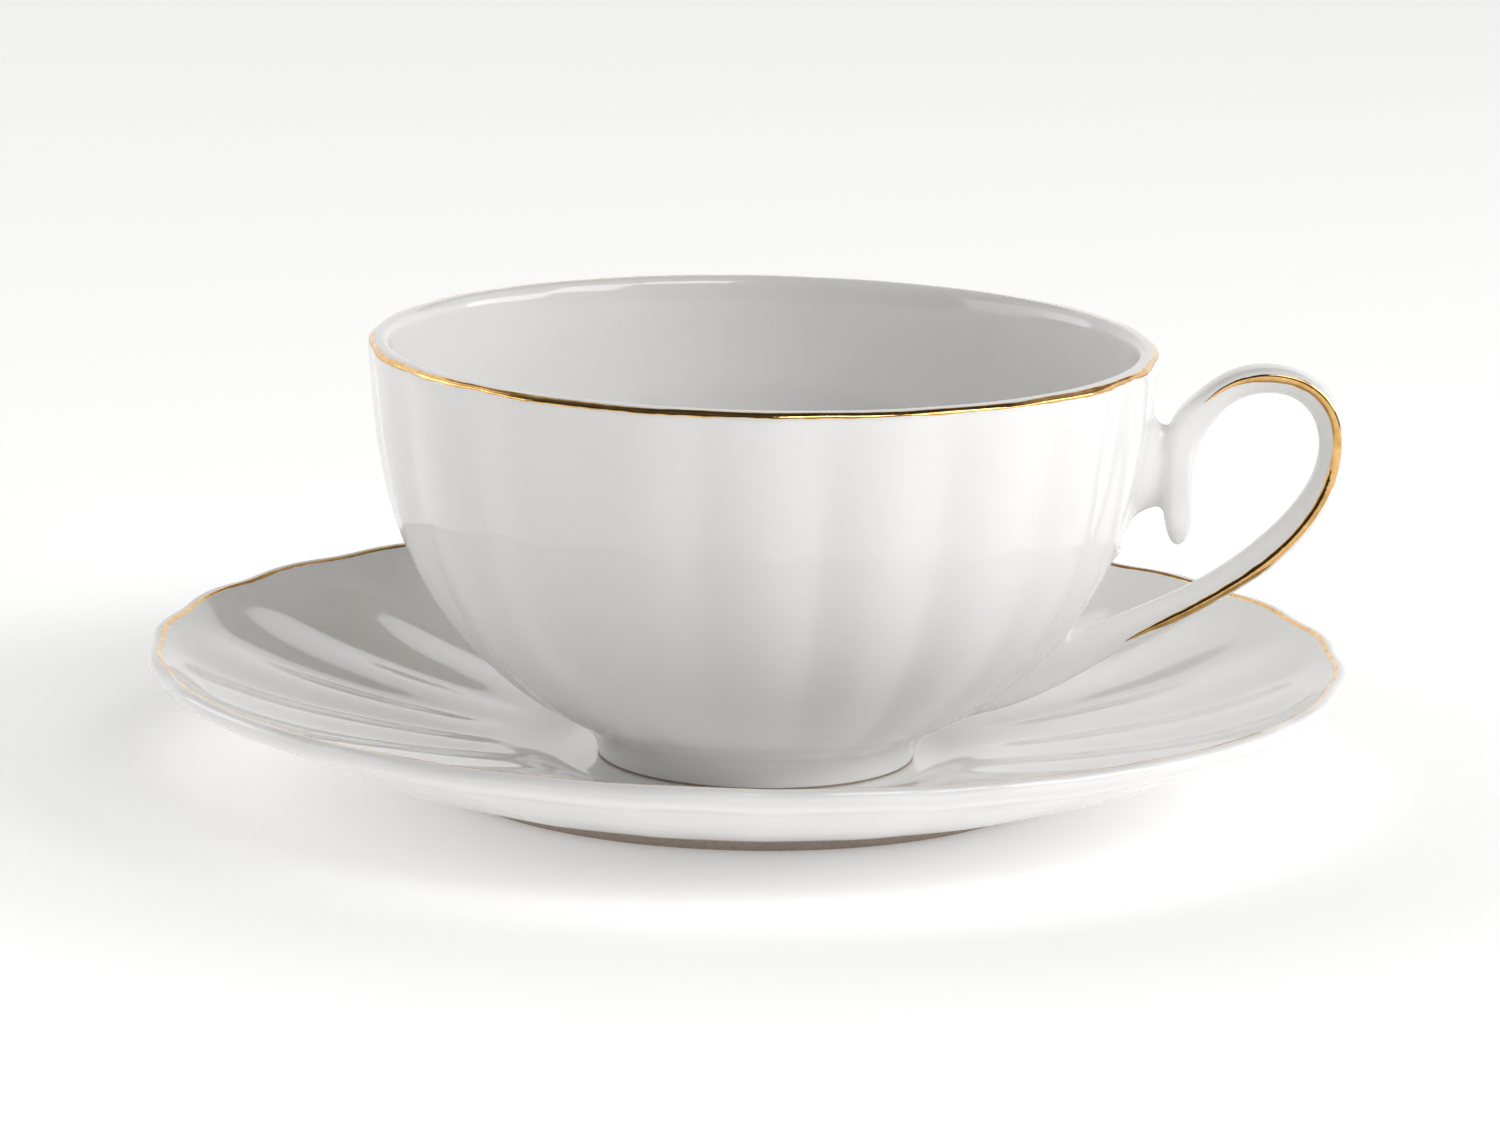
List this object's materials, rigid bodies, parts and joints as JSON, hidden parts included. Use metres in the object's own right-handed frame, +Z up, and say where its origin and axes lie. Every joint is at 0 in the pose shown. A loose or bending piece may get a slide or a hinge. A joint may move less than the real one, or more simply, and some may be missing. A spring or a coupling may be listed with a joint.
{
  "type": "teacup",
  "caption": "Teacup with a softly fluted bowl and an open loop handle, standing on a matching petal-edged saucer, in white porcelain with thin gilded lines.",
  "frame": {"origin": "bottom centre of the saucer's foot ring, on the surface the saucer stands on", "axes": "+Z up, +X from the centre towards the cup's handle"},
  "size_m": [0.1538, 0.1536, 0.0572],
  "materials": {
    "porcelain": "clear glossy glaze over white porcelain",
    "gilding": "bright fired gold, hand painted"
  },
  "bodies": {
    "saucer": {"saucer": "porcelain", "saucer_rim_gilding": "gilding"},
    "cup": {"cup_bowl": "porcelain", "cup_handle": "porcelain", "cup_rim_gilding": "gilding", "handle_gilding_front": "gilding", "handle_gilding_back": "gilding"}
  },
  "joints": [
    {"name": "cup_lift", "type": "slide", "parent": "saucer", "child": "cup", "axis": [0, 0, 1], "range_m": [0, 0.06]}
  ]
}
